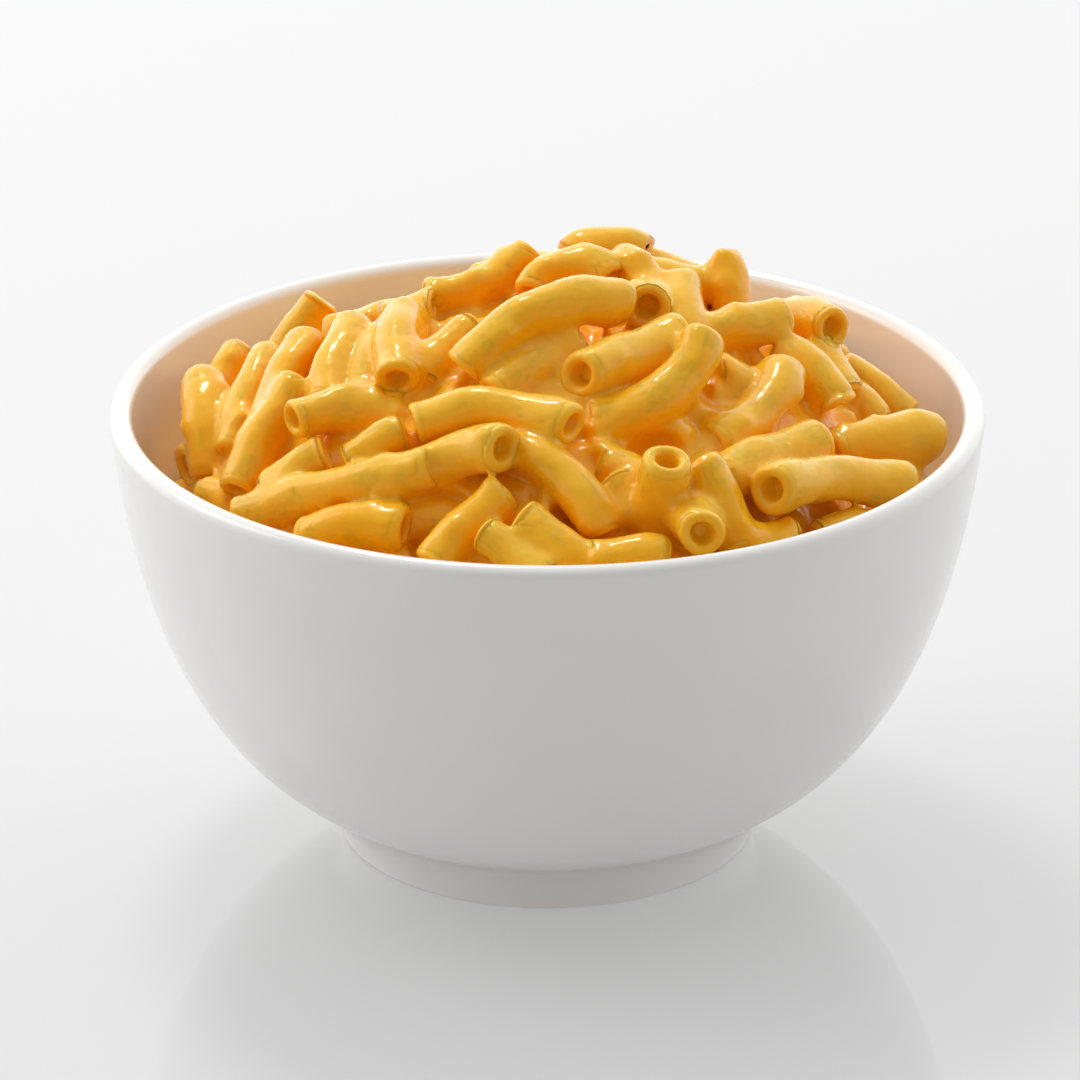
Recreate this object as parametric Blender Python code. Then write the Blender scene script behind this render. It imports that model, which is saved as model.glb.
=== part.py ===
"""Footed white bowl heaped with macaroni and cheese.

Metres, +Z up. The origin is the middle of the foot's resting face, and the bowl's axis is +Z.
Two pieces: the glazed bowl, turned about its axis, and the heap of elbow macaroni that fills it
and stands well above its lip. The heap is one solid, out to the uneven outline of the elbows.
"""

import math
import random

import bmesh
import bpy
from mathutils import Vector
from mathutils.geometry import interpolate_bezier

MM = 0.001

# Bowl: the outside
LIP_RADIUS = 70.0 * MM  # widest point, at the lip
LIP_HEIGHT = 74.0 * MM
FOOT_HEIGHT = 7.1 * MM  # where the wall springs from the foot
FOOT_TOP_RADIUS = 34.0 * MM
FOOT_BASE_RADIUS = 33.7 * MM
WALL_START_ANGLE = math.radians(19.7)  # above the horizontal, as the wall leaves the foot
WALL_START_PULL = 20.0 * MM  # length of the curve's handle there
WALL_END_ANGLE = math.radians(5.7)  # outward lean of the wall below the lip
WALL_END_PULL = 38.0 * MM

# Bowl: thickness, lip and underside
LIP_THICKNESS = 3.6 * MM
WALL_BASE_THICKNESS = 4.2 * MM
FLOOR_HEIGHT = 6.0 * MM  # inside, at the centre
FOOT_RING_WIDTH = 3.6 * MM
FOOT_RECESS = 2.2 * MM
FOOT_BEVEL = 0.6 * MM

# How finely the turned shapes are cut
SEGMENTS = 72
WALL_STEPS = 11
LIP_STEPS = 5
FLOOR_STEPS = 3

# Heap of macaroni
FILL_GAP = 0.3 * MM  # between the heap and the glaze
EDGE_HEIGHT = 55.0 * MM  # where the heap meets the wall
EDGE_UNEVENNESS = 2.2 * MM
EDGE_WAVES = (3, 5, 8)  # how many times each wave goes round the bowl
EDGE_PHASE = 0.7
CREST_RISE = 37.0 * MM  # of the dome, above the edge
CREST_OFFSET = (4.0 * MM, 5.0 * MM)  # the heap is highest right of centre and towards the back
DOME_POWER = 2.0
HEAP_SUBDIVISIONS = 5
ELBOW_RADIUS = 4.5 * MM
RIDGE_SPREAD = 1.6  # half width of an elbow's ridge, in elbow radii: sauce fills its flanks
ELBOW_LENGTH = 26.0 * MM
ELBOW_TURN = math.radians(80)  # how far a macaroni elbow curves from end to end
ELBOW_COUNT = 52
ELBOW_POINTS = 9
ELBOW_RISE = 4.5 * MM  # of an elbow's back, above the dome
ELBOW_LIFT = 1.5 * MM  # how much more or less than that some elbows rise
HEAP_SEED = 11

GLAZE_WHITE = (0.83, 0.83, 0.81, 1.0)
CHEESE_YELLOW = (0.80, 0.42, 0.06, 1.0)


def clear_scene():
    for obj in list(bpy.data.objects):
        bpy.data.objects.remove(obj)


def material(name, colour, roughness):
    made = bpy.data.materials.new(name)
    made.use_nodes = True
    shader = made.node_tree.nodes["Principled BSDF"]
    shader.inputs["Base Color"].default_value = colour
    shader.inputs["Roughness"].default_value = roughness
    shader.inputs["Metallic"].default_value = 0.0
    return made


def add_object(name, mesh, finish):
    obj = bpy.data.objects.new(name, mesh)
    mesh.materials.append(finish)
    bpy.context.scene.collection.objects.link(obj)
    return obj


def outer_wall():
    """(radius, height) from the top of the foot up to the widest point of the lip."""
    start = Vector((FOOT_TOP_RADIUS, FOOT_HEIGHT, 0))
    end = Vector((LIP_RADIUS, LIP_HEIGHT - LIP_THICKNESS / 2, 0))
    start_pull = Vector((math.cos(WALL_START_ANGLE), math.sin(WALL_START_ANGLE), 0)) * WALL_START_PULL
    end_pull = Vector((math.sin(WALL_END_ANGLE), math.cos(WALL_END_ANGLE), 0)) * WALL_END_PULL
    curve = interpolate_bezier(start, start + start_pull, end - end_pull, end, WALL_STEPS)
    return [(point.x, point.y) for point in curve]


def inner_wall():
    """The outer wall moved in by the wall's thickness, from above the foot up to the lip."""
    outer = outer_wall()
    inner = []
    for i, (radius, height) in enumerate(outer):
        before = Vector(outer[max(i - 1, 0)])
        after = Vector(outer[min(i + 1, len(outer) - 1)])
        along = (after - before).normalized()
        share = i / (len(outer) - 1)
        thickness = WALL_BASE_THICKNESS + (LIP_THICKNESS - WALL_BASE_THICKNESS) * share
        inner.append((radius - along.y * thickness, height + along.x * thickness))
    inner[-1] = (LIP_RADIUS - LIP_THICKNESS, LIP_HEIGHT - LIP_THICKNESS / 2)
    return inner


def floor():
    """The shallow inside floor, from the axis out to the start of the inner wall."""
    edge_radius, edge_height = inner_wall()[0]
    points = []
    for i in range(FLOOR_STEPS):
        share = i / FLOOR_STEPS
        points.append((edge_radius * share, FLOOR_HEIGHT + (edge_height - FLOOR_HEIGHT) * share**2))
    return points


def lip():
    """The half round over the lip, from the inside to the outside, without its two ends."""
    centre = LIP_RADIUS - LIP_THICKNESS / 2
    points = []
    for i in range(1, LIP_STEPS + 1):
        angle = math.pi * (1 - i / (LIP_STEPS + 1))
        points.append(
            (
                centre + math.cos(angle) * LIP_THICKNESS / 2,
                LIP_HEIGHT - LIP_THICKNESS / 2 + math.sin(angle) * LIP_THICKNESS / 2,
            )
        )
    return points


def foot():
    """Down the outside of the foot, across its resting face and up into the recess to the axis."""
    ring_inside = FOOT_BASE_RADIUS - FOOT_RING_WIDTH
    return [
        (FOOT_BASE_RADIUS, FOOT_BEVEL),
        (FOOT_BASE_RADIUS - FOOT_BEVEL, 0.0),
        (ring_inside + FOOT_BEVEL, 0.0),
        (ring_inside, FOOT_BEVEL),
        (ring_inside - FOOT_BEVEL, FOOT_RECESS),
        (0.0, FOOT_RECESS),
    ]


def make_bowl(finish):
    profile = floor() + inner_wall() + lip() + outer_wall()[::-1] + foot()
    mesh = bpy.data.meshes.new("bowl")
    edges = [(i, i + 1) for i in range(len(profile) - 1)]
    mesh.from_pydata([(radius, 0.0, height) for radius, height in profile], edges, [])
    bowl = add_object("bowl", mesh, finish)
    turn = bowl.modifiers.new("Turn", "SCREW")
    turn.axis = "Z"
    turn.steps = turn.render_steps = SEGMENTS
    turn.use_smooth_shade = True
    turn.use_merge_vertices = True
    turn.merge_threshold = 0.05 * MM
    return bowl


def cavity_radius(height):
    """Radius of the inside of the bowl at a height, less the gap that the heap keeps to it."""
    wall = floor() + inner_wall()
    for (low_radius, low), (high_radius, high) in zip(wall, wall[1:]):
        if height <= high:
            share = (height - low) / (high - low)
            return low_radius + (high_radius - low_radius) * share - FILL_GAP
    return wall[-1][0] - FILL_GAP


def dome_height(x, y):
    """Height of the smooth dome that the elbows lie on."""
    reach = cavity_radius(EDGE_HEIGHT)
    from_axis = min(math.hypot(x, y) / reach, 1.0)
    towards_edge = 1 - from_axis
    from_crest = math.hypot(x - CREST_OFFSET[0] * towards_edge, y - CREST_OFFSET[1] * towards_edge)
    return EDGE_HEIGHT + CREST_RISE * max(1 - (from_crest / reach) ** DOME_POWER, 0.0)


def scattered_elbows():
    """Each elbow as (x, y, rise) along its middle line, spread over the dome in a sunflower pattern."""
    chance = random.Random(HEAP_SEED)
    reach = cavity_radius(EDGE_HEIGHT) - ELBOW_RADIUS - ELBOW_LENGTH / 4
    golden_angle = math.pi * (3 - math.sqrt(5))
    bend_radius = ELBOW_LENGTH / ELBOW_TURN
    elbows = []
    for i in range(ELBOW_COUNT):
        spread = reach * math.sqrt((i + 0.5) / ELBOW_COUNT)
        middle = Vector((math.cos(i * golden_angle), math.sin(i * golden_angle))) * spread
        heading = chance.uniform(0, 2 * math.pi)
        rise = ELBOW_RISE + chance.uniform(-ELBOW_LIFT, ELBOW_LIFT)
        pivot = middle - Vector((math.cos(heading), math.sin(heading))) * bend_radius
        line = []
        for step in range(ELBOW_POINTS):
            angle = heading + ELBOW_TURN * (step / (ELBOW_POINTS - 1) - 0.5)
            x = pivot.x + math.cos(angle) * bend_radius
            y = pivot.y + math.sin(angle) * bend_radius
            line.append((x, y, rise))
        elbows.append(line)
    return elbows


def heap_height(x, y, elbows):
    """The dome, with the rounded ridge of whatever elbow lies over that point."""
    ridge = 0.0
    for line in elbows:
        for point_x, point_y, rise in line:
            across = math.hypot(x - point_x, y - point_y) / (RIDGE_SPREAD * ELBOW_RADIUS)
            if across < 1:
                ridge = max(ridge, rise * math.cos(across * math.pi / 2) ** 2)
    return dome_height(x, y) + ridge


def edge_height(azimuth):
    """The heap's uneven line along the wall: slow waves round the bowl, the quicker ones weaker."""
    waves = [math.sin(count * azimuth + EDGE_PHASE * count) / (i + 1) for i, count in enumerate(EDGE_WAVES)]
    return EDGE_HEIGHT + EDGE_UNEVENNESS * sum(waves) / len(waves)


def dome_point(azimuth, outward, elbows):
    """A point of the dome, at a share of the way out from its middle to the wall."""
    edge = edge_height(azimuth)
    radius = cavity_radius(edge) * outward
    x, y = math.cos(azimuth) * radius, math.sin(azimuth) * radius
    return Vector((x, y, heap_height(x, y, elbows) + (edge - EDGE_HEIGHT) * outward**2))


def bed_point(azimuth, outward):
    """A point of the heap's underside, at a share of the way along the glaze from the middle to the edge."""
    edge = edge_height(azimuth)
    glaze = [(radius, height) for radius, height in floor() + inner_wall() if height < edge - FILL_GAP]
    bed = [Vector((max(radius - FILL_GAP, 0), height + FILL_GAP)) for radius, height in glaze]
    bed.append(Vector((cavity_radius(edge), edge)))
    remaining = outward * sum((upper - lower).length for lower, upper in zip(bed, bed[1:]))
    for lower, upper in zip(bed, bed[1:]):
        stretch = (upper - lower).length
        if remaining <= stretch:
            break
        remaining -= stretch
    radius, height = lower.lerp(upper, min(remaining / stretch, 1.0))
    return Vector((math.cos(azimuth) * radius, math.sin(azimuth) * radius, height))


def make_heap(finish):
    """A ball of even triangles: its upper half becomes the dome and its lower half fills the bowl."""
    elbows = scattered_elbows()
    shape = bmesh.new()
    bmesh.ops.create_icosphere(shape, subdivisions=HEAP_SUBDIVISIONS, radius=1.0)
    for vert in shape.verts:
        azimuth = math.atan2(vert.co.y, vert.co.x)
        outward = math.sqrt(1 - min(abs(vert.co.z), 1.0))  # shares the triangles out evenly
        if vert.co.z >= 0:
            vert.co = dome_point(azimuth, outward, elbows)
        else:
            vert.co = bed_point(azimuth, outward)

    mesh = bpy.data.meshes.new("macaroni_heap")
    shape.to_mesh(mesh)
    shape.free()
    heap = add_object("macaroni_heap", mesh, finish)
    mesh.shade_smooth()
    return heap


def main():
    clear_scene()
    make_bowl(material("White glaze", GLAZE_WHITE, roughness=0.25))
    make_heap(material("Cheese sauce", CHEESE_YELLOW, roughness=0.35))


main()
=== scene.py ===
import math

import bmesh
import bpy
import numpy as np
import openvdb
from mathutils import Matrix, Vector
from mathutils.geometry import interpolate_bezier


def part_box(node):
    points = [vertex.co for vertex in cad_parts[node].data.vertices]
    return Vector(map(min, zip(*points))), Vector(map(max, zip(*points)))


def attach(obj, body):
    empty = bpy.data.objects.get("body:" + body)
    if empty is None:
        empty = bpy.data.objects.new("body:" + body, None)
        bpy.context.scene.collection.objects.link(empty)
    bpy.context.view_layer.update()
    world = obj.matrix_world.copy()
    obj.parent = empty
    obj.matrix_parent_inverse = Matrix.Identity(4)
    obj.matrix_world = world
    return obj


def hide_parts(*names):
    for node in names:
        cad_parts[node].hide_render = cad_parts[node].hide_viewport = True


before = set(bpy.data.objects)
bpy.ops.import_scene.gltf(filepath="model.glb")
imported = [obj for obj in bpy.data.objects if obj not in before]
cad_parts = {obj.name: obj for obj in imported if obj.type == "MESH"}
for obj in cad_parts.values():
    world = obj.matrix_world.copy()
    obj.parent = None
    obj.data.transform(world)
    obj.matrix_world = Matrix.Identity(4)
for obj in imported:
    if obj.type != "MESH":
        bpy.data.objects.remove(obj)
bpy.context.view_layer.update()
mm = 0.001
bowlLow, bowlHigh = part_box("bowl")
lipRadius = bowlHigh.x / mm
lipHeight = bowlHigh.z / mm
print("frame loaded, bowl", round(lipRadius * 2), "mm across")


def hexColour(code):
    # sRGB hex to the linear colour that the shader wants
    parts = [int(code[i : i + 2], 16) / 255 for i in (1, 3, 5)]
    return [p / 12.92 if p <= 0.04045 else ((p + 0.055) / 1.055) ** 2.4 for p in parts] + [1.0]


def addNode(tree, kind, settings=None, links=None):
    # settings are the node's own properties or its inputs' values, links the sockets that feed it
    node = tree.nodes.new(kind)
    for key, value in (settings or {}).items():
        if isinstance(key, str) and hasattr(node, key):
            setattr(node, key, value)
        else:
            node.inputs[key].default_value = value
    for key, source in (links or {}).items():
        tree.links.new(source, node.inputs[key])
    return node


def newMaterial(name):
    material = bpy.data.materials.new(name)
    material.use_nodes = True
    material.node_tree.nodes.clear()
    return material, material.node_tree


def storeFloats(mesh, name, values):
    data = mesh.attributes.new(name, "FLOAT", "POINT").data
    data.foreach_set("value", np.asarray(values, np.float32))


def storeVectors(mesh, name, values):
    data = mesh.attributes.new(name, "FLOAT_VECTOR", "POINT").data
    data.foreach_set("vector", np.asarray(values, np.float32).ravel())


def addPiece(name, mesh, material):
    piece = bpy.data.objects.new(name, mesh)
    mesh.materials.clear()
    mesh.materials.append(material)
    bpy.context.scene.collection.objects.link(piece)
    return piece


view = {
    "target": (-1.2, 0, 49.9),
    "distance": 1200,
    "elevation": 22.6,
    "lens": 248,
    "sensor": 36,
}


def makeCamera():
    camera = bpy.data.objects.new("camera", bpy.data.cameras.new("camera"))
    rise = math.radians(view["elevation"])
    back = Vector((0, -math.cos(rise), math.sin(rise)))
    camera.location = (Vector(view["target"]) + back * view["distance"]) * mm
    camera.rotation_euler = (-back).to_track_quat("-Z", "Y").to_euler()
    camera.data.lens = view["lens"]
    camera.data.sensor_width = view["sensor"]
    camera.data.clip_start = 0.05
    camera.data.clip_end = 20
    bpy.context.scene.collection.objects.link(camera)
    bpy.context.scene.camera = camera


studio = {
    "frontSky": 0.38,  # how bright the room is behind the viewer, who stands in the dark
    "backSky": 1.7,  # the lit wall behind the bowl
    "ceilingDip": 0.35,  # how much darker the room is straight up
    "leftGain": 0.25,  # the left wall is that much brighter than the right
    "overhead": {"at": (-160, 480, 880), "size": 190, "power": 2.0},
    "left": {"at": (-620, 160, 560), "size": 420, "power": 0.9},
    "floorReach": 6000,  # from the middle to each side
}


def makeSky():
    world = bpy.data.worlds.new("softStudio")
    world.use_nodes = True
    bpy.context.scene.world = world
    tree = world.node_tree
    tree.nodes.clear()
    direction = addNode(tree, "ShaderNodeTexCoord").outputs["Generated"]
    axes = addNode(tree, "ShaderNodeSeparateXYZ", links={0: direction})
    walls = addNode(
        tree,
        "ShaderNodeMapRange",
        {"interpolation_type": "SMOOTHSTEP", "From Min": -1.0, "From Max": 0.4,
         "To Min": studio["frontSky"], "To Max": studio["backSky"]},
        {"Value": axes.outputs["Y"]},
    )
    side = addNode(
        tree,
        "ShaderNodeMapRange",
        {"From Min": -1.0, "From Max": 1.0, "To Min": 1 + studio["leftGain"], "To Max": 1.0},
        {"Value": axes.outputs["X"]},
    )
    uneven = addNode(
        tree, "ShaderNodeMath", {"operation": "MULTIPLY"}, {0: walls.outputs[0], 1: side.outputs[0]}
    )
    height = addNode(
        tree,
        "ShaderNodeMapRange",
        {"interpolation_type": "SMOOTHSTEP", "From Min": 0.35, "From Max": 0.85,
         "To Min": 1.0, "To Max": 1 - studio["ceilingDip"]},
        {"Value": axes.outputs["Z"]},
    )
    light = addNode(
        tree, "ShaderNodeMath", {"operation": "MULTIPLY"}, {0: uneven.outputs[0], 1: height.outputs[0]}
    )
    glow = addNode(tree, "ShaderNodeBackground", links={"Strength": light.outputs[0]})
    addNode(tree, "ShaderNodeOutputWorld", links={"Surface": glow.outputs[0]})


def addSoftbox(name, settings):
    lamp = bpy.data.lights.new(name, "AREA")
    lamp.shape = "DISK"
    lamp.size = settings["size"] * mm
    lamp.energy = settings["power"]
    box = bpy.data.objects.new(name, lamp)
    box.location = Vector(settings["at"]) * mm
    aim = Vector(view["target"]) * mm - box.location
    box.rotation_euler = aim.to_track_quat("-Z", "Y").to_euler()
    bpy.context.scene.collection.objects.link(box)


def makeFloor():
    mesh = bpy.data.meshes.new("floor")
    shape = bmesh.new()
    bmesh.ops.create_grid(shape, x_segments=1, y_segments=1, size=studio["floorReach"] * mm)
    shape.to_mesh(mesh)
    shape.free()
    # Polished white acrylic sheet on a light table: pale all over, with a faint crisp mirror image.
    material, tree = newMaterial("whiteAcrylic")
    shader = addNode(
        tree,
        "ShaderNodeBsdfPrincipled",
        {
            "Base Color": hexColour("#B4B4B5"),
            "Roughness": 0.03,
            "IOR": 1.45,
            "Emission Color": hexColour("#FFFFFF"),
            "Emission Strength": 0.23,
        },
    )
    addNode(tree, "ShaderNodeOutputMaterial", links={"Surface": shader.outputs[0]})
    floor = addPiece("floor", mesh, material)


bpy.context.scene.view_settings.view_transform = "Standard"
makeCamera()
makeSky()
addSoftbox("overhead", studio["overhead"])
addSoftbox("left", studio["left"])
makeFloor()
print("studio ready")

bowl = {
    "footHeight": 7.1,  # where the wall springs from the foot
    "footTopRadius": 34.0,
    "footBaseRadius": 33.7,
    "wallStartAngle": 19.7,  # above the horizontal, as the wall leaves the foot
    "wallStartPull": 20.0,  # length of the curve's handle there
    "wallEndAngle": 5.7,  # outward lean below the lip
    "wallEndPull": 38.0,
    "lipThickness": 3.6,
    "baseThickness": 4.2,
    "floorHeight": 6.0,
    "footRingWidth": 3.6,
    "footRecess": 2.2,
    "footRounding": 0.7,
    "floorSteps": 10,
    "wallSteps": 48,
    "lipSteps": 12,
    "roundingSteps": 4,
    "segments": 192,
}


def outerWall():
    rise = math.radians(bowl["wallStartAngle"])
    lean = math.radians(bowl["wallEndAngle"])
    start = Vector((bowl["footTopRadius"], bowl["footHeight"], 0))
    end = Vector((lipRadius, lipHeight - bowl["lipThickness"] / 2, 0))
    startPull = Vector((math.cos(rise), math.sin(rise), 0)) * bowl["wallStartPull"]
    endPull = Vector((math.sin(lean), math.cos(lean), 0)) * bowl["wallEndPull"]
    curve = interpolate_bezier(start, start + startPull, end - endPull, end, bowl["wallSteps"])
    return [(p.x, p.y) for p in curve]


def innerWall():
    outer = outerWall()
    inner = []
    for i, (radius, height) in enumerate(outer):
        along = Vector(outer[min(i + 1, len(outer) - 1)]) - Vector(outer[max(i - 1, 0)])
        along.normalize()
        share = i / (len(outer) - 1)
        thickness = bowl["baseThickness"] * (1 - share) + bowl["lipThickness"] * share
        inner.append((radius - along.y * thickness, height + along.x * thickness))
    inner[-1] = (lipRadius - bowl["lipThickness"], lipHeight - bowl["lipThickness"] / 2)
    return inner


def arcPoints(centre, radius, fromAngle, toAngle, steps):
    points = []
    for i in range(steps + 1):
        angle = math.radians(fromAngle + (toAngle - fromAngle) * i / steps)
        points.append((centre[0] + radius * math.cos(angle), centre[1] + radius * math.sin(angle)))
    return points


def bowlProfile():
    inner = innerWall()
    edgeRadius, edgeHeight = inner[0]
    floor = []
    for i in range(bowl["floorSteps"]):
        share = i / bowl["floorSteps"]
        height = bowl["floorHeight"] + (edgeHeight - bowl["floorHeight"]) * share ** 2
        floor.append((edgeRadius * share, height))
    half = bowl["lipThickness"] / 2
    lip = arcPoints((lipRadius - half, lipHeight - half), half, 180, 0, bowl["lipSteps"])[1:-1]
    rounding = bowl["footRounding"]
    base = bowl["footBaseRadius"]
    ringInside = base - bowl["footRingWidth"]
    steps = bowl["roundingSteps"]
    foot = arcPoints((base - rounding, rounding), rounding, 0, -90, steps)
    foot += arcPoints((ringInside + rounding, rounding), rounding, -90, -180, steps)
    foot += [(ringInside - rounding, bowl["footRecess"]), (0.0, bowl["footRecess"])]
    return floor + inner + lip + outerWall()[::-1] + foot


def glazedPorcelain():
    # Fired white porcelain under a clear glaze: a hard even white with sharp soft-box reflections,
    # which the glaze's slight waviness, about two centimetres long, bends a little.
    material, tree = newMaterial("glazedPorcelain")
    place = addNode(tree, "ShaderNodeTexCoord").outputs["Object"]
    waves = addNode(tree, "ShaderNodeTexNoise", {"Scale": 1 / (18 * mm), "Detail": 1.0}, {"Vector": place})
    relief = addNode(
        tree, "ShaderNodeBump", {"Strength": 0.1, "Distance": 0.2 * mm}, {"Height": waves.outputs["Fac"]}
    )
    tint = addNode(
        tree,
        "ShaderNodeMix",
        {"data_type": "RGBA", 6: hexColour("#F1F0EC"), 7: hexColour("#EDEBE6")},
        {0: waves.outputs["Fac"]},
    )
    shader = addNode(
        tree,
        "ShaderNodeBsdfPrincipled",
        {"Roughness": 0.22, "IOR": 1.5, "Coat Weight": 0.6, "Coat Roughness": 0.05, "Coat IOR": 1.5},
        {"Base Color": tint.outputs[2], "Normal": relief.outputs[0]},
    )
    addNode(tree, "ShaderNodeOutputMaterial", links={"Surface": shader.outputs[0]})
    return material


def makeBowl():
    profile = bowlProfile()
    shape = bmesh.new()
    points = [shape.verts.new((radius * mm, 0, height * mm)) for radius, height in profile]
    edges = [shape.edges.new(pair) for pair in zip(points, points[1:])]
    bmesh.ops.spin(
        shape, geom=points + edges, axis=(0, 0, 1), cent=(0, 0, 0), angle=math.tau,
        steps=bowl["segments"], use_merge=True,
    )
    bmesh.ops.remove_doubles(shape, verts=shape.verts, dist=0.01 * mm)
    bmesh.ops.recalc_face_normals(shape, faces=shape.faces)
    mesh = bpy.data.meshes.new("bowl")
    shape.to_mesh(mesh)
    shape.free()
    mesh.shade_smooth()
    piece = addPiece("porcelain_bowl", mesh, glazedPorcelain())
    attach(piece, "root")
    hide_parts("bowl")


makeBowl()
print("bowl turned")

# Each elbow is an arc: its two ends, how far it turns and which way it bulges (0 is up), both in
# degrees, and its girth. These are the ones in view, given one by one.
shownElbows = [
    # standing along the left wall
    ((-56, 13, 72.3), (-54, -2, 61.5), 60, 0, 7.5),
    ((-50.3, 26, 72.5), (-54, 18, 68), 10, 0, 6),
    ((-45, 14, 76.5), (-50.2, -5, 66.8), 25, 0, 6.5),
    ((-36.6, 29, 80.5), (-43.8, 26, 71), 12, 0, 6.4),
    ((-38.1, 8, 82), (-47, -14, 70.3), 15, 30, 6.5),
    ((-39.3, -6, 79.3), (-49, -20.5, 66.5), 12, 30, 6.7),
    ((-31, 5, 84.3), (-35, -13, 78.3), 30, 0, 7.3),
    ((-23, 3, 86.5), (-24, -18, 84.6), 25, 0, 7.6),
    ((-26, 2, 85), (-30, -17, 77.5), 25, 0, 6),
    ((-12, -6, 88), (-20, -14, 82.5), 40, 0, 6.8),
    # the two long arches over the crest
    ((-19.7, 10, 88), (-2.3, 15, 94.3), 45, 170, 5.9),
    ((-13.2, -19, 86.6), (12, -5, 92.8), 66, 0, 7.4),
    ((-8.5, -23, 83.8), (4.5, -11, 88.2), 15, 0, 6.6),
    # across the middle and down the front
    ((-40.2, -21, 79.3), (-22.8, -17, 79.2), 36, -80, 7),
    ((-20.8, -28, 81.3), (3.8, -35, 83.6), 50, -60, 7),
    ((-18.8, -35, 75.6), (-6.4, -40, 81.6), 60, -50, 7.4),
    ((-5.5, -33, 79), (8.8, -46.5, 70), 60, 0, 7),
    ((-48.5, -27.5, 65.2), (-18, -38, 77.6), 8, 0, 6.8),
    ((-34.8, -25, 75), (-44, -26, 68.8), 20, 0, 6.2),
    ((-22, -28, 79.5), (-31, -29, 75.5), 20, 0, 6),
    ((-38, -38, 66), (-22, -43, 69.8), 25, 0, 7.3),
    ((-26, -36, 68), (-10, -38, 67.5), 20, 0, 7.5),
    ((-7, -41.5, 74.6), (-18, -50, 66.3), 15, 0, 7),
    ((-4, -48, 73.3), (7, -54.5, 66.3), 12, 0, 7),
    ((-9.7, -49.5, 71.3), (0, -55.5, 66), 12, 0, 6.5),
    # the crest
    ((-2.6, 4.5, 90.4), (10.2, 7, 92), 130, -50, 6),
    ((3.8, 18, 91), (16, 21, 90.6), 80, -20, 6.8),
    ((12, 15, 89.8), (26, 17, 87), 15, 0, 5.9),
    ((12, 14, 92.8), (17.4, 5, 90.5), 50, 30, 6),
    ((15.7, -4.5, 91.2), (17, 8, 87.5), 20, 0, 7.8),
    ((21.3, 8, 90.3), (22, -6, 85.8), 50, 0, 6.5),
    ((28.4, 20, 91), (30.5, 12, 83.5), 6, 0, 6.1),
    ((22, -4, 86), (37.8, 5, 86.2), 8, 0, 6.7),
    ((5, -23.5, 87.6), (22, -9, 89), 36, -140, 8.4),
    ((24.5, -14, 90.5), (7, -26.5, 80.5), 74, -115, 7.6),
    # down the right side
    ((37.6, -8, 82.6), (26, -25.5, 76.5), 40, -100, 7.4),
    ((37, 2, 81.3), (46, -6, 75.3), 55, 0, 7),
    ((48, 18, 73.1), (58.5, 13, 66), 12, 0, 6),
    ((46.5, 9, 73), (54, 5, 67.5), 12, 0, 5.6),
    ((38, 22, 80), (46.3, 11, 82.3), 5, 0, 7.2),
    ((43, 12, 78.5), (47.5, 4, 73), 20, 0, 6.8),
    ((45.7, -14, 70.6), (62, -6, 70), 20, 0, 8.1),
    ((26.5, -36.5, 75), (42.6, -22, 75.8), 8, 0, 7.7),
    ((34.1, -42, 75.6), (56.5, -24, 68.8), 40, -70, 7.6),
    ((29, -46, 66.5), (38, -40, 66.5), 20, 0, 6.6),
    ((42, -37, 65), (50, -32, 65), 20, 0, 6.4),
    ((18.3, -47, 83.2), (16, -40.5, 65), 6, 0, 7.4),
    ((23.5, -40, 79.5), (29.8, -46, 67.5), 12, 0, 7),
    ((23.7, -55, 74), (22.5, -38, 70), 15, 0, 7.8),
    ((6.5, -54, 69), (18.5, -53.5, 69), 20, 0, 6.6),
    ((26, -12, 83), (33, -10, 79.5), 20, 0, 6.6),
    ((8.5, -33.5, 76.8), (16, -37, 74), 20, 0, 6.6),
    ((10.5, -38, 76), (13.5, -43, 70), 15, 0, 6.3),
    ((-55, -12, 62.3), (-49, -17, 64), 20, 0, 5.8),
    ((-35, 12, 80.3), (-28, 10, 82), 15, 0, 6.2),
    ((-30, 14, 81.5), (-22, 12, 84), 15, 0, 5.8),
    ((-26, 8, 85), (-18, 6, 87.3), 15, 0, 5.8),
]

heap = {
    "edgeHeight": 59.0,  # of the elbows' middles at the wall
    "crestRise": 34.0,
    "crestAt": (1.5, 2.0),
    "roundness": 2.35,
    "wallRadius": 63.0,
    "backDrop": 2.5,  # how much lower the heap lies behind the crest
    "backFrom": 10.0,  # where that starts, behind the middle
    "backOver": 20.0,
    "layers": ((0.0, 4.8), (-3.0, 4.4)),  # depth below the shown ones, least spacing
    "tries": 9000,  # for the fillers, which go wherever the shown elbows leave room
    "length": (17.0, 27.0),
    "girth": (6.2, 7.6),
    "turn": (15.0, 75.0),
    "lean": (-110.0, 110.0),
    "pitch": 0.16,
    "proud": 2.0,  # how far a filler may stand over the heap's own height
    "lowest": 46.0,
    "wallGap": 0.4,
    "seed": 7,
    "clearance": 5.4,  # from a filler to the shown elbows before or above it, as the viewer sees them
    "tuck": 3.0,  # how far behind a shown elbow a filler may pass it
    "below": 1.0,  # how far a filler stays under the topmost shown elbow
    "warp": 0.4,  # how far boiled elbows sag out of their arcs
    "warpLength": 17.0,
    "toneSeed": 3,
    "pits": (((-17, -42, 70), 6.5), ((5, -45, 73), 5), ((17, -31, 77), 5)),  # dark gaps left open
}


def heapHeight(x, y):
    # height of the topmost elbows' middles over a place in the bowl
    radius = np.hypot(x - heap["crestAt"][0], y - heap["crestAt"][1])
    fall = np.clip(radius / heap["wallRadius"], 0, 1) ** heap["roundness"]
    back = np.clip((y - heap["backFrom"]) / heap["backOver"], 0, 1)
    return heap["edgeHeight"] + heap["crestRise"] * (1 - fall) - heap["backDrop"] * back


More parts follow.
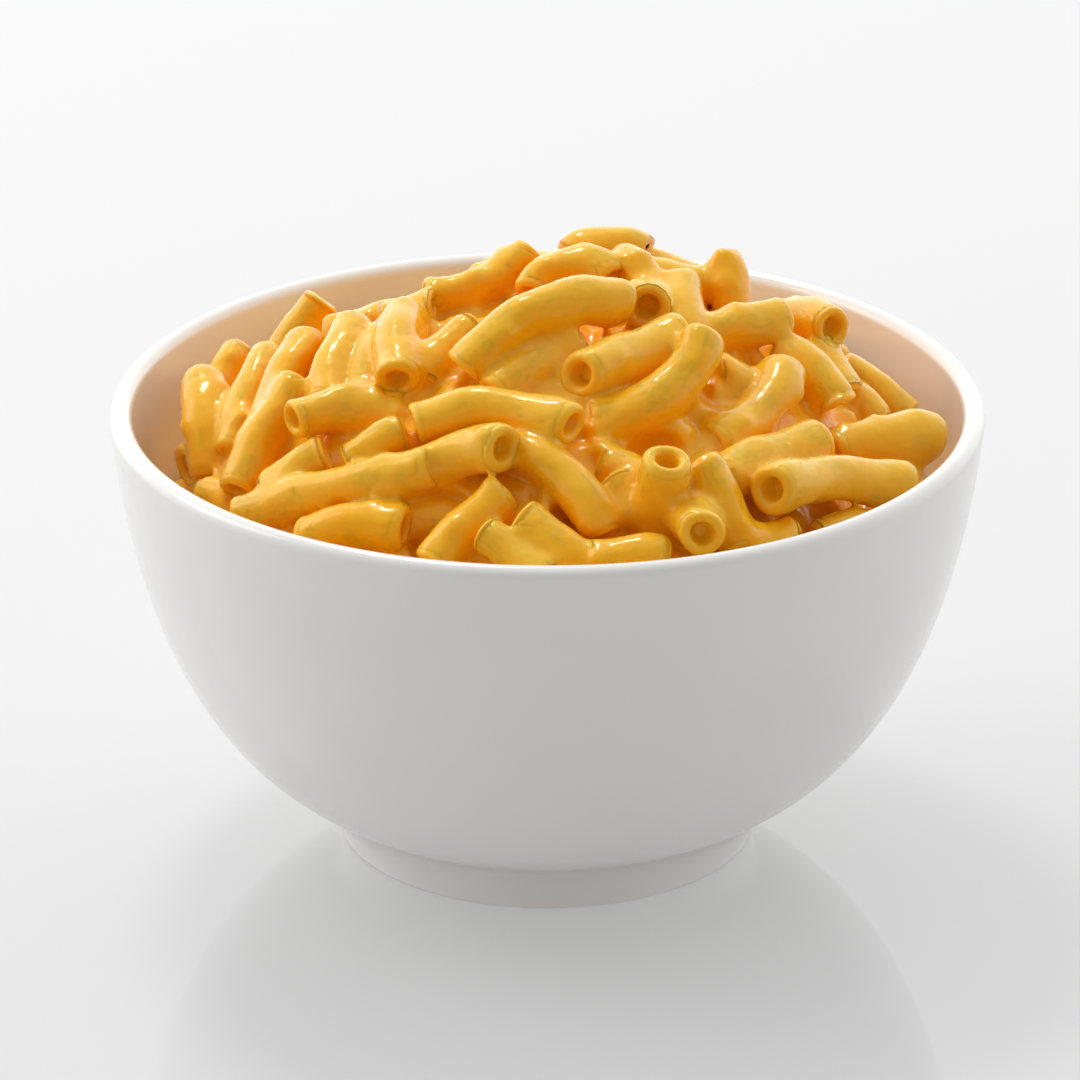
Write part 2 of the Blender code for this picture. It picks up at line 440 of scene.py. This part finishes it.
def elbowArc(start, end, turn, lean, girth):
    # the arc's centre, its axes along, outwards and sideways, its radius and half its angle
    start, end = np.array(start, float), np.array(end, float)
    chord = np.linalg.norm(end - start)
    along = (end - start) / chord
    upright = abs(along[2]) > 0.95  # such an elbow's "up" is towards the viewer
    up = np.array((0, -1.0, 0)) if upright else np.array((0, 0, 1.0))
    up = up - along * (along @ up)
    up /= np.linalg.norm(up)
    side = np.cross(along, up)
    tilt = math.radians(lean)
    out = math.cos(tilt) * up + math.sin(tilt) * side
    half = math.radians(turn) / 2
    radius = chord / 2 / math.sin(half)
    centre = (start + end) / 2 - out * radius * math.cos(half)
    return {
        "centre": centre, "along": along, "out": out, "side": np.cross(along, out),
        "radius": radius, "half": half, "girth": girth,
    }


def arcLine(arc, count=7):
    angles = np.linspace(-arc["half"], arc["half"], count)[:, None]
    return arc["centre"] + arc["radius"] * (np.sin(angles) * arc["along"] + np.cos(angles) * arc["out"])


cavityRadii, cavityHeights = zip(*innerWall())


def cavityRadius(height):
    return np.interp(height, cavityHeights, cavityRadii)


def seen(points):
    # as the viewer sees places: sideways, upwards and how near
    rise = math.radians(view["elevation"])
    upwards = points[:, 1] * math.sin(rise) + points[:, 2] * math.cos(rise)
    nearness = points[:, 2] * math.sin(rise) - points[:, 1] * math.cos(rise)
    return np.stack((points[:, 0], upwards, nearness), -1)


def hidesShown(line, shown):
    # whether a filler would stand before a shown elbow or rise over them all
    here = seen(line)
    gap = np.linalg.norm(here[:, None, :2] - shown[None, :, :2], axis=2)
    nearer = here[:, None, 2] > shown[None, :, 2] - heap["tuck"]
    if np.any((gap < heap["clearance"]) & nearer):
        return True
    for sideways, upwards in here[:, :2]:
        beside = shown[np.abs(shown[:, 0] - sideways) < heap["clearance"]]
        if len(beside) == 0 or upwards > beside[:, 1].max() - heap["below"]:
            return True
    return False


def fillHeap(arcs):
    # drops further elbows wherever there is room, in layers from the top down
    rng = np.random.default_rng(heap["seed"])
    placed = [arcLine(arc) for arc in arcs]
    pits = [np.array([pit]) for pit, size in heap["pits"]]
    shown = seen(np.concatenate(placed + pits))
    for depth, spacing in heap["layers"]:
        for attempt in range(heap["tries"]):
            heading = rng.uniform(0, math.tau)
            reach = math.sqrt(rng.uniform(0, 1)) * heap["wallRadius"]
            middle = np.array((math.cos(heading), math.sin(heading))) * reach
            heading = rng.uniform(0, math.tau)
            length, girth = rng.uniform(*heap["length"]), rng.uniform(*heap["girth"])
            turn, lean = rng.uniform(*heap["turn"]), rng.uniform(*heap["lean"])
            half = np.array((math.cos(heading), math.sin(heading))) * length / 2
            climb = rng.normal(0, heap["pitch"]) * length / 2
            ends = []
            for sign in (-1, 1):
                x, y = middle + sign * half
                ends.append((x, y, float(heapHeight(x, y)) + depth + sign * climb))
            arc = elbowArc(ends[0], ends[1], turn, lean, girth)
            line = arcLine(arc)
            outwards = np.hypot(line[:, 0], line[:, 1])
            if np.any(outwards > cavityRadius(line[:, 2]) - girth / 2 - heap["wallGap"]):
                continue
            if line[:, 2].min() < heap["lowest"]:
                continue
            if np.any(line[:, 2] > heapHeight(line[:, 0], line[:, 1]) + depth + heap["proud"]):
                continue
            if hidesShown(line, shown):
                continue
            if all(
                np.min(np.linalg.norm(line[:, None] - other[None], axis=2)) > spacing
                for other in placed
            ):
                placed.append(line)
                arcs.append(arc)
    return arcs


def warp(places):
    # soft boiled elbows sag out of their true arcs: a slow wave moves everything a little, in mm
    x, y, z = places[..., 0], places[..., 1], places[..., 2]
    size = heap["warp"]
    length = heap["warpLength"] / math.tau
    return size * np.stack(
        (
            np.sin(y / length + 1.0) * np.cos(z / length * 0.8),
            np.sin(z / length * 1.1 + 2.0) * np.cos(x / length * 0.9 + 0.5),
            np.sin(x / length * 1.2 + 0.3) * np.cos(y / length * 0.7 + 1.2),
        ),
        -1,
    )


arcs = fillHeap([elbowArc(*placing) for placing in shownElbows])
toneOrder = np.random.default_rng(heap["toneSeed"])
for arc in arcs:
    arc["tone"] = toneOrder.uniform(0, 1)
print("elbows placed:", len(arcs))

elbow = {
    "around": 16,
    "stations": 18,
    "lipSteps": 4,
    "lipBulge": 0.12,  # how far the rounded end stands out, in girths
    "boreShare": 0.5,  # bore to outside diameter
    "boreDepth": 0.34,  # to the sauce that fills it, in girths
    "boreHollow": 0.2,  # how much deeper it is in its middle, in girths
    "boreNarrows": ((1.0, 0.55), (0.85, 0.86), (0.4, 0.98)),  # shares of its depth and width, inmost first
    "swell": 0.05,  # how much thicker and thinner an elbow gets along its length
    "swellTurns": 6.0,
    "swellPhase": 97.0,
    "unevenness": 0.25,
    "unevenPatch": 7.0,
}


def elbowBlank():
    # A straight elbow, one unit long and wide: rings from one bore's floor over the outside to the
    # other's. Each point keeps its share of the length, its end offset in girths and its radius.
    rings = []
    bore, bulge, depth = elbow["boreShare"] / 2, elbow["lipBulge"], elbow["boreDepth"]
    middle, half = (0.5 + bore) / 2, (0.5 - bore) / 2
    end = [(0.5, -depth * down, bore * width) for down, width in elbow["boreNarrows"]]
    for i in range(elbow["lipSteps"] + 1):
        angle = math.pi * i / elbow["lipSteps"]
        end.append((0.5, bulge * math.sin(angle) - bulge, middle - half * math.cos(angle)))
    for i in range(1, elbow["stations"] - 1):
        rings.append((0.5 - i / (elbow["stations"] - 1), 0.0, 0.5))
    first = [(-share, -offset, radius) for share, offset, radius in end]
    rings = end + rings + first[::-1]
    around = elbow["around"]
    points, shares, offsets, radii = [], [], [], []
    for share, offset, radius in rings:
        for i in range(around):
            angle = math.tau * i / around
            points.append((share, math.cos(angle), math.sin(angle)))
            shares.append(share)
            offsets.append(offset)
            radii.append(radius)
    faces = []
    for ring in range(len(rings) - 1):
        for i in range(around):
            a, b = ring * around + i, ring * around + (i + 1) % around
            faces.append((a, a + around, b + around, b))
    for ring, sign in ((0, 1), (len(rings) - 1, -1)):
        pole = len(points)
        points.append((rings[ring][0], 0, 0))
        shares.append(rings[ring][0])
        offsets.append(rings[ring][1] - elbow["boreHollow"] * sign)
        radii.append(0.0)
        for i in range(around):
            a, b = ring * around + i, ring * around + (i + 1) % around
            faces.append((a, b, pole)[::sign])
    mesh = bpy.data.meshes.new("elbowBlank")
    mesh.from_pydata(points, [], faces)
    storeFloats(mesh, "share", shares)
    storeFloats(mesh, "offset", offsets)
    storeFloats(mesh, "reach", radii)
    # marks the bore faces, which the food's colour gives a painted glow
    storeFloats(mesh, "inside", [float(radius <= bore) for radius in radii])
    storeVectors(mesh, "ring", points)
    blank = bpy.data.objects.new("elbowBlank", mesh)
    bpy.context.scene.collection.objects.link(blank)
    return blank


def elbowPoints(arcs):
    # one point for each elbow, which carries its arc
    mesh = bpy.data.meshes.new("elbowPoints")
    mesh.from_pydata([tuple(arc["centre"] * mm) for arc in arcs], [], [])
    for name in ("along", "out", "side"):
        storeVectors(mesh, name, [arc[name] for arc in arcs])
    storeVectors(mesh, "centre", np.array([arc["centre"] for arc in arcs], np.float32) * mm)
    storeFloats(mesh, "bend", [arc["radius"] * mm for arc in arcs])
    storeFloats(mesh, "half", [arc["half"] for arc in arcs])
    storeFloats(mesh, "girth", [arc["girth"] * mm for arc in arcs])
    storeFloats(mesh, "tone", [arc["tone"] for arc in arcs])
    points = bpy.data.objects.new("elbowPoints", mesh)
    bpy.context.scene.collection.objects.link(points)
    return points


def elbowTree():
    tree = bpy.data.node_groups.new("bentElbows", "GeometryNodeTree")
    sockets = {
        "Geometry": "NodeSocketGeometry",
        "Blank": "NodeSocketObject",
        "Swell": "NodeSocketFloat",
        "Unevenness": "NodeSocketFloat",
        "Waviness": "NodeSocketFloat",
        "Finish": "NodeSocketMaterial",
    }
    for label, kind in sockets.items():
        tree.interface.new_socket(label, in_out="INPUT", socket_type=kind)
    tree.interface.new_socket("Geometry", in_out="OUTPUT", socket_type="NodeSocketGeometry")
    given = addNode(tree, "NodeGroupInput")
    blank = addNode(tree, "GeometryNodeObjectInfo", links={"Object": given.outputs["Blank"]})
    spread = addNode(
        tree,
        "GeometryNodeInstanceOnPoints",
        links={"Points": given.outputs["Geometry"], "Instance": blank.outputs["Geometry"]},
    )
    real = addNode(tree, "GeometryNodeRealizeInstances", links={"Geometry": spread.outputs[0]})

    def named(name, kind="FLOAT"):
        node = addNode(tree, "GeometryNodeInputNamedAttribute", {"data_type": kind, "Name": name})
        return node.outputs[0]

    def maths(operation, *values):
        node = addNode(tree, "ShaderNodeMath", {"operation": operation})
        for i, value in enumerate(values):
            if isinstance(value, (int, float)):
                node.inputs[i].default_value = value
            else:
                tree.links.new(value, node.inputs[i])
        return node.outputs[0]

    def scaled(vector, amount):
        node = addNode(tree, "ShaderNodeVectorMath", {"operation": "SCALE"}, {0: vector})
        tree.links.new(amount, node.inputs["Scale"])
        return node.outputs[0]

    def added(*vectors):
        total = vectors[0]
        for vector in vectors[1:]:
            node = addNode(tree, "ShaderNodeVectorMath", {"operation": "ADD"}, {0: total, 1: vector})
            total = node.outputs[0]
        return total

    # the angle along the arc, from the share of the length and the offset at the ends
    along, out, side = (named(n, "FLOAT_VECTOR") for n in ("along", "out", "side"))
    bend, girth = named("bend"), named("girth")
    swept = maths("MULTIPLY", maths("MULTIPLY", named("share"), named("half")), 2.0)
    endAngle = maths("DIVIDE", maths("MULTIPLY", named("offset"), girth), bend)
    angle = maths("ADD", swept, endAngle)
    sine, cosine = maths("SINE", angle), maths("COSINE", angle)
    outwards = added(scaled(along, sine), scaled(out, cosine))
    # the unit circle of the blank, kept in its y and z
    ring = addNode(tree, "ShaderNodeSeparateXYZ", links={0: named("ring", "FLOAT_VECTOR")})
    # each elbow is a little thicker and thinner along its length
    turned = maths("MULTIPLY", named("share"), elbow["swellTurns"])
    phase = maths("MULTIPLY_ADD", named("tone"), elbow["swellPhase"], turned)
    thick = maths("MULTIPLY_ADD", maths("SINE", phase), given.outputs["Swell"], 1.0)
    radius = maths("MULTIPLY", maths("MULTIPLY", named("reach"), girth), thick)
    middle = added(named("centre", "FLOAT_VECTOR"), scaled(outwards, bend))
    place = added(
        middle,
        scaled(outwards, maths("MULTIPLY", ring.outputs["Y"], radius)),
        scaled(side, maths("MULTIPLY", ring.outputs["Z"], radius)),
    )
    moved = addNode(tree, "GeometryNodeSetPosition", links={"Geometry": real.outputs[0], "Position": place})
    # and sauce lies on it unevenly
    here = addNode(tree, "GeometryNodeInputPosition").outputs[0]
    grain = addNode(
        tree,
        "ShaderNodeTexNoise",
        {"noise_dimensions": "3D", "Detail": 1.5},
        {"Vector": here, "Scale": given.outputs["Waviness"]},
    )
    lift = maths("MULTIPLY", maths("SUBTRACT", grain.outputs[0], 0.5), given.outputs["Unevenness"])
    normal = addNode(tree, "GeometryNodeInputNormal").outputs[0]
    coated = addNode(
        tree,
        "GeometryNodeSetPosition",
        links={"Geometry": moved.outputs[0], "Offset": scaled(normal, maths("MULTIPLY", lift, mm))},
    )
    smooth = addNode(tree, "GeometryNodeSetShadeSmooth", links={"Geometry": coated.outputs[0]})
    finished = addNode(
        tree,
        "GeometryNodeSetMaterial",
        links={"Geometry": smooth.outputs[0], "Material": given.outputs["Finish"]},
    )
    addNode(tree, "NodeGroupOutput", links={0: finished.outputs[0]})
    return tree


def bakeNodes(carrier, tree, inputs, name):
    # runs the tree on its carrier and keeps the result as a plain mesh
    modifier = carrier.modifiers.new("make", "NODES")
    modifier.node_group = tree
    for item in tree.interface.items_tree:
        if item.in_out == "INPUT" and item.name in inputs:
            modifier[item.identifier] = inputs[item.name]
    depsgraph = bpy.context.evaluated_depsgraph_get()
    depsgraph.update()
    mesh = bpy.data.meshes.new_from_object(carrier.evaluated_get(depsgraph))
    mesh.name = name
    carrier.modifiers.remove(modifier)
    return mesh


food = {
    "toneShare": 0.5,  # how much each elbow's own tone counts
    "paintedTopLight": 0.55,  # painted light: how much paler the upward-facing sides are made, standing in for light from above
    "lumpSize": 3.5,  # soft dents in the skin
    "lumpHeight": 0.5,
    "streakSize": 2.2,  # finer ripples, which break up the highlights
    "streakHeight": 0.3,
    "depth": 1.0,  # that light sinks in
    "fatTint": "#FFB838",
}


# the first colour is the pale end of the random tone and of the painted top light, the third the painted
# shade of the hollows and the painted glow in the bores
def foodMaterial(name, light, middle, shadeAndBoreLight, patchSize, roughness):
    # The make-up that wet pasta and its sauce share: painted light makes their upward-facing sides paler
    # and painted shade makes the hollows deep orange, with a painted glow in the elbows' bores, softened by
    # the light that sinks in, under a thin wet film.
    material, tree = newMaterial(name)
    place = addNode(tree, "ShaderNodeTexCoord").outputs["Object"]
    patches = addNode(
        tree, "ShaderNodeTexNoise", {"Scale": 1 / (patchSize * mm), "Detail": 3.0, "Roughness": 0.55},
        {"Vector": place},
    )
    tone = addNode(tree, "ShaderNodeAttribute", {"attribute_name": "tone"})
    blend = addNode(
        tree,
        "ShaderNodeMath",
        {"operation": "MULTIPLY_ADD", 1: food["toneShare"]},
        {0: tone.outputs["Fac"], 2: patches.outputs["Fac"]},
    )
    # painted light: the side that faces up is made paler, as if lit from above
    paintedLitTop = addNode(tree, "ShaderNodeAttribute", {"attribute_name": "paintedLitTop"})
    toneAndTopLight = addNode(
        tree,
        "ShaderNodeMath",
        {"operation": "MULTIPLY_ADD", 1: food["paintedTopLight"]},
        {0: paintedLitTop.outputs["Fac"], 2: blend.outputs[0]},
    )
    spread = addNode(
        tree, "ShaderNodeMapRange", {"From Min": 0.7, "From Max": 1.7}, {"Value": toneAndTopLight.outputs[0]}
    )
    shown = addNode(
        tree,
        "ShaderNodeMix",
        {"data_type": "RGBA", 6: hexColour(middle), 7: hexColour(light)},
        {0: spread.outputs[0]},
    )
    # painted shade: the hollows turn to the third colour by the shelter mask; in the elbows' bores it is a
    # painted glow of light through the thin wall
    hollow = addNode(tree, "ShaderNodeAttribute", {"attribute_name": "shelter"})
    paintedHollowShade = addNode(
        tree, "ShaderNodeMapRange",
        {"interpolation_type": "SMOOTHSTEP", "From Min": 0.15, "From Max": 1.0},
        {"Value": hollow.outputs["Fac"]},
    )
    inside = addNode(tree, "ShaderNodeAttribute", {"attribute_name": "inside"})
    shadeOrBoreLight = addNode(
        tree, "ShaderNodeMath", {"operation": "MAXIMUM"}, {0: paintedHollowShade.outputs[0], 1: inside.outputs["Fac"]}
    )
    colour = addNode(
        tree,
        "ShaderNodeMix",
        {"data_type": "RGBA", 7: hexColour(shadeAndBoreLight)},
        {0: shadeOrBoreLight.outputs[0], 6: shown.outputs[2]},
    )
    lumps = addNode(
        tree, "ShaderNodeTexNoise", {"Scale": 1 / (food["lumpSize"] * mm), "Detail": 1.0}, {"Vector": place}
    )
    streaks = addNode(
        tree,
        "ShaderNodeTexNoise",
        {"Scale": 1 / (food["streakSize"] * mm), "Detail": 3.0, "Roughness": 0.5},
        {"Vector": place},
    )
    dents = addNode(
        tree,
        "ShaderNodeBump",
        {"Strength": 0.6, "Distance": food["lumpHeight"] * mm},
        {"Height": lumps.outputs["Fac"]},
    )
    ripples = addNode(
        tree,
        "ShaderNodeBump",
        {"Strength": 0.4, "Distance": food["streakHeight"] * mm},
        {"Height": streaks.outputs["Fac"], "Normal": dents.outputs[0]},
    )
    rough = addNode(
        tree, "ShaderNodeMapRange",
        {"From Min": 0.3, "From Max": 0.7, "To Min": roughness[0], "To Max": roughness[1]},
        {"Value": streaks.outputs["Fac"]},
    )
    shader = addNode(
        tree,
        "ShaderNodeBsdfPrincipled",
        {
            "Subsurface Weight": 0.6,
            "Subsurface Radius": (1.0, 0.8, 0.5),
            "Subsurface Scale": food["depth"] * mm,
            "IOR": 1.38,
            "Specular Tint": hexColour(food["fatTint"]),
            "Coat Weight": 0.65,
            "Coat Roughness": 0.08,
            "Coat IOR": 1.4,
        },
        {"Base Color": colour.outputs[2], "Roughness": rough.outputs[0], "Normal": ripples.outputs[0]},
    )
    addNode(tree, "ShaderNodeOutputMaterial", links={"Surface": shader.outputs[0]})
    return material


# an occlusion estimate, which masks the painted shade in the food's hollows
shelter = {
    "steps": (1.5, 3.0, 5.0, 8.0),  # how far out each looks for neighbours
    "upward": 0.7,  # how much the steps turn up towards the light
    "most": 1.6,  # that one step counts, where it ends deep inside something
}


def addShelter(mesh, field, corner):
    # how closely its neighbours stand round each point, from 0 in the open to about 1 in a hollow:
    # steps are taken outwards, and whatever is nearer than the step shelters the point
    count = len(mesh.vertices)
    places, normals = np.empty(count * 3, np.float32), np.empty(count * 3, np.float32)
    mesh.vertices.foreach_get("co", places)
    mesh.vertex_normals.foreach_get("vector", normals)
    places, normals = places.reshape(-1, 3) / mm, normals.reshape(-1, 3)
    outwards = normals + np.array((0, 0, shelter["upward"]))
    outwards /= np.linalg.norm(outwards, axis=1)[:, None] + 1e-6
    closed = np.zeros(count)
    for step in shelter["steps"]:
        cells = np.rint((places + outwards * step - corner) / sauce["cell"]).astype(int)
        cells = np.clip(cells, 0, np.array(field.shape) - 1)
        closed += np.clip(1 - field[tuple(cells.T)] / step, 0, shelter["most"])
    # painted shade mask: how sheltered each point is sets how far the food's colour turns to its hollow
    # shade
    storeFloats(mesh, "shelter", closed / len(shelter["steps"]))
    # painted light mask: how far each point faces up sets how much paler the food's colour is made
    storeFloats(mesh, "paintedLitTop", np.clip(normals[:, 2], 0, 1))


sauce = {
    "cell": 0.65,  # of the grid that it is worked out on
    "fillet": (0.45, 0.85),  # how widely it bridges from elbow to elbow, thinly and thickly
    "filletPatch": 26.0,
    "coat": 0.08,  # its usual thickness over an elbow's back
    "coatUnevenness": 0.1,
    "coatPatch": 9.0,
    "endShown": 0.45,  # of each end, that it leaves bare
    "edgeRounding": 1.1,
    "boreDepth": 2.7,  # it keeps out of the open ends, where the elbow's own filling shows
    "boreWidth": 0.68,  # of the elbow's girth
    "boreClearance": 1.0,
    "boreBlend": 0.3,
    "openGap": 0.4,  # room before an end that leaves it open; nearer things bury it
    "poolDepth": 5.4,  # under the middles of the topmost elbows
    "poolLumps": 1.1,
    "poolLumpSize": 8.0,
    "poolSlope": 0.8,
    "poolTone": 0.5,
    "beads": 120,
    "beadSize": (0.6, 1.2),
    "beadSpread": 0.9,  # of an elbow's length, that beads sit on
    "beadSunk": 0.6,  # of a bead's size, that is under the elbow's skin
    "margin": 4.5,  # round an elbow, that its pull on the sauce reaches
    "bed": 49.5,  # height of its underside
    "ceiling": 101.0,
    "intoWall": 0.25,
    "thinning": 0.06,  # where it is smooth, faces are made larger
    "seed": 5,
}
steepest = 60  # limit on the exponents below, which keeps them finite


def tubeDistance(places, arc):
    # signed distance to the sauce on one elbow, which stops short of its ends
    rel = places - arc["centre"]
    u, v, w = rel @ arc["along"], rel @ arc["out"], rel @ arc["side"]
    angle = np.arctan2(u, v)
    share = np.clip(angle / arc["half"] / 2, -0.6, 0.6)  # of the length, and a little past the ends
    beyond = (np.abs(angle) - arc["half"]) * arc["radius"] + sauce["endShown"]
    away = np.hypot(np.hypot(u, v) - arc["radius"], w)
    swell = 1 + elbow["swell"] * np.sin(share * elbow["swellTurns"] + arc["tone"] * elbow["swellPhase"])
    rounding = sauce["edgeRounding"]
    endward, outward = beyond + rounding, away - arc["girth"] / 2 * swell + rounding
    corner = np.hypot(np.maximum(endward, 0), np.maximum(outward, 0))
    return np.minimum(np.maximum(endward, outward), 0) + corner - rounding


def boreDistance(places, mouth, tangent, girth):
    # signed distance to the short cylinder that is kept free of sauce in an open end
    rel = places - mouth
    past = rel @ tangent
    away = np.linalg.norm(rel - past[..., None] * tangent, axis=-1)
    bore = np.maximum(away - girth / 2 * sauce["boreWidth"], -past - sauce["boreDepth"])
    return np.maximum(bore, past - sauce["boreClearance"])


def softMax(first, second, width):
    # the larger of two distances, with the corner between them rounded over a width
    first = np.clip(first / width, -steepest, steepest)
    second = np.clip(second / width, -steepest, steepest)
    return np.log(np.exp(first) + np.exp(second)) * width


def wavy(x, y, z, length):
    # a slow uneven wave between about -1 and 1
    wave = math.tau / length
    return (
        np.sin(x * wave + np.sin(y * wave * 0.7) * 1.5)
        + np.sin(y * wave * 1.1 + np.sin(z * wave * 0.8) * 1.5)
        + np.sin(z * wave * 0.9 + np.sin(x * wave * 1.2) * 1.5)
    ) / 2


def sauceField(arcs):
    # signed distance to the sauce: the elbows and the pool under them, flowing into each other
    rng = np.random.default_rng(sauce["seed"])
    cell = sauce["cell"]
    reach = lipRadius - bowl["lipThickness"] + 1
    xs = np.arange(-reach, reach + cell, cell)
    zs = np.arange(sauce["bed"] - 3 * cell, sauce["ceiling"], cell)
    x, y, z = np.meshgrid(xs, xs, zs, indexing="ij")
    thin, thick = sauce["fillet"]
    fillet = thin + (thick - thin) * np.clip(0.5 + 0.5 * wavy(x, y, z, sauce["filletPatch"]), 0, 1)
    pool = heapHeight(x, y) - sauce["poolDepth"] + sauce["poolLumps"] * wavy(x, y, z, sauce["poolLumpSize"])
    pool = (z - pool) * sauce["poolSlope"]
    for pit, size in heap["pits"]:
        away = np.sqrt((x - pit[0]) ** 2 + (y - pit[1]) ** 2 + (z - pit[2]) ** 2)
        pool = np.maximum(pool, size - away)
    total = np.exp(np.clip(-pool / fillet, -steepest, steepest))
    tones = total * sauce["poolTone"]

    def near(low, high):
        # the cells inside a box, and where they lie
        spans = zip((xs, xs, zs), low, high)
        window = tuple(slice(*np.searchsorted(side, (start, end))) for side, start, end in spans)
        return window, np.stack((x[window], y[window], z[window]), -1)

    def pour(window, away, tone):
        weight = np.exp(np.clip(-away / fillet[window], -steepest, steepest))
        total[window] += weight
        tones[window] += weight * tone

    for arc in arcs:
        line = arcLine(arc, 9)
        margin = arc["girth"] / 2 + sauce["margin"]
        window, places = near(line.min(0) - margin, line.max(0) + margin)
        pour(window, tubeDistance(places - warp(places), arc), arc["tone"])
    for bead in range(sauce["beads"]):
        arc = arcs[rng.integers(0, len(shownElbows))]
        angle = rng.uniform(-sauce["beadSpread"], sauce["beadSpread"]) * arc["half"]
        around = rng.uniform(0, math.tau)
        outwards = math.sin(angle) * arc["along"] + math.cos(angle) * arc["out"]
        size = rng.uniform(*sauce["beadSize"])
        stands = math.cos(around) * outwards + math.sin(around) * arc["side"]
        raised = arc["girth"] / 2 - size * sauce["beadSunk"]
        at = arc["centre"] + arc["radius"] * outwards + stands * raised
        margin = size + sauce["margin"]
        window, places = near(at - margin, at + margin)
        pour(window, np.linalg.norm(places - at, axis=-1) - size, arc["tone"])
    field = -fillet * np.log(total + 1e-20) - sauce["coat"]  # the tiny number keeps the log finite
    field -= sauce["coatUnevenness"] * wavy(x, y, z, sauce["coatPatch"])
    poured = field.copy()
    opened = 0
    for arc in arcs:
        for end in (-1, 1):
            tangent = end * math.cos(arc["half"]) * arc["along"] - math.sin(arc["half"]) * arc["out"]
            mouth = arcLine(arc)[-1 if end > 0 else 0]
            before = mouth + tangent * (sauce["openGap"] + sauce["edgeRounding"])
            before = before + warp(before)
            index = tuple(np.rint((before - (xs[0], xs[0], zs[0])) / cell).astype(int))
            if poured[index] < sauce["openGap"]:
                continue
            opened += 1
            window, places = near(mouth - arc["girth"], mouth + arc["girth"])
            bore = boreDistance(places - warp(places), mouth, tangent, arc["girth"])
            field[window] = softMax(field[window], -bore, sauce["boreBlend"])
    print("open ends:", opened)
    field = np.maximum(field, np.hypot(x, y) - cavityRadius(z) - sauce["intoWall"])
    field = np.maximum(field, sauce["bed"] - z)
    return field.astype(np.float32), (tones / total).astype(np.float32), (xs[0], xs[0], zs[0])


def meshField(field, tones, corner, name):
    # the surface where the distance is nought, as a closed mesh that faces outwards
    grid = openvdb.FloatGrid(sauce["margin"])
    grid.copyFromArray(field)
    points, triangles, quads = grid.convertToPolygons(0.0, sauce["thinning"])
    places = (points * sauce["cell"] + np.array(corner)) * mm
    faces = quads.tolist() + triangles.tolist()
    mesh = bpy.data.meshes.new(name)
    mesh.from_pydata(places.tolist(), [], faces)
    shape = bmesh.new()
    shape.from_mesh(mesh)
    if shape.calc_volume(signed=True) < 0:
        bmesh.ops.reverse_faces(shape, faces=shape.faces)
    shape.to_mesh(mesh)
    shape.free()
    mesh.shade_smooth()
    cells = np.clip(np.rint(points).astype(int), 0, np.array(field.shape) - 1)
    storeFloats(mesh, "tone", tones[tuple(cells.T)])
    return mesh


def makeElbows(arcs, field, corner):
    # Boiled durum wheat pasta, smooth and wet: a warm yellow, whose bores are given a brighter painted
    # yellow that stands in for light coming through the thin wall.
    # the last colour is the painted glow in the bores and the painted shade in the hollows
    finish = foodMaterial("cheeseCoatedPasta", "#FACA48", "#FFB818", "#FFBC18", 7.0, (0.22, 0.4))
    blank, points = elbowBlank(), elbowPoints(arcs)
    inputs = {
        "Blank": blank,
        "Swell": elbow["swell"],
        "Unevenness": elbow["unevenness"],
        "Waviness": 1 / (elbow["unevenPatch"] * mm),
        "Finish": finish,
    }
    mesh = bakeNodes(points, elbowTree(), inputs, "elbows")
    for scaffold in (blank, points):
        bpy.data.objects.remove(scaffold)
    places = np.empty(len(mesh.vertices) * 3, np.float32)
    mesh.vertices.foreach_get("co", places)
    places = places.reshape(-1, 3) + warp(places.reshape(-1, 3) / mm) * mm
    mesh.vertices.foreach_set("co", places.astype(np.float32).ravel())
    mesh.update()
    addShelter(mesh, field, corner)
    print("elbows bent:", len(mesh.polygons), "faces")
    piece = addPiece("elbow_macaroni", mesh, finish)
    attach(piece, "root")
    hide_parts("macaroni_heap")


def makeSauce(field, tones, corner):
    # Melted cheddar sauce, smooth and wet with its own fat: yellow, made paler by painted light where it
    # faces up and deep orange by painted shade where it stands in hollows, with small sharp highlights.
    # the last colour is the painted shade of the hollows
    finish = foodMaterial("meltedCheddarSauce", "#FACA44", "#FFB510", "#FFAF06", 9.0, (0.2, 0.38))
    mesh = meshField(field, tones, corner, "sauce")
    addShelter(mesh, field, corner)
    print("sauce poured:", len(mesh.polygons), "faces")
    piece = addPiece("cheese_sauce", mesh, finish)
    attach(piece, "root")
    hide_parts("macaroni_heap")


field, tones, corner = sauceField(arcs)
makeElbows(arcs, field, corner)
makeSauce(field, tones, corner)
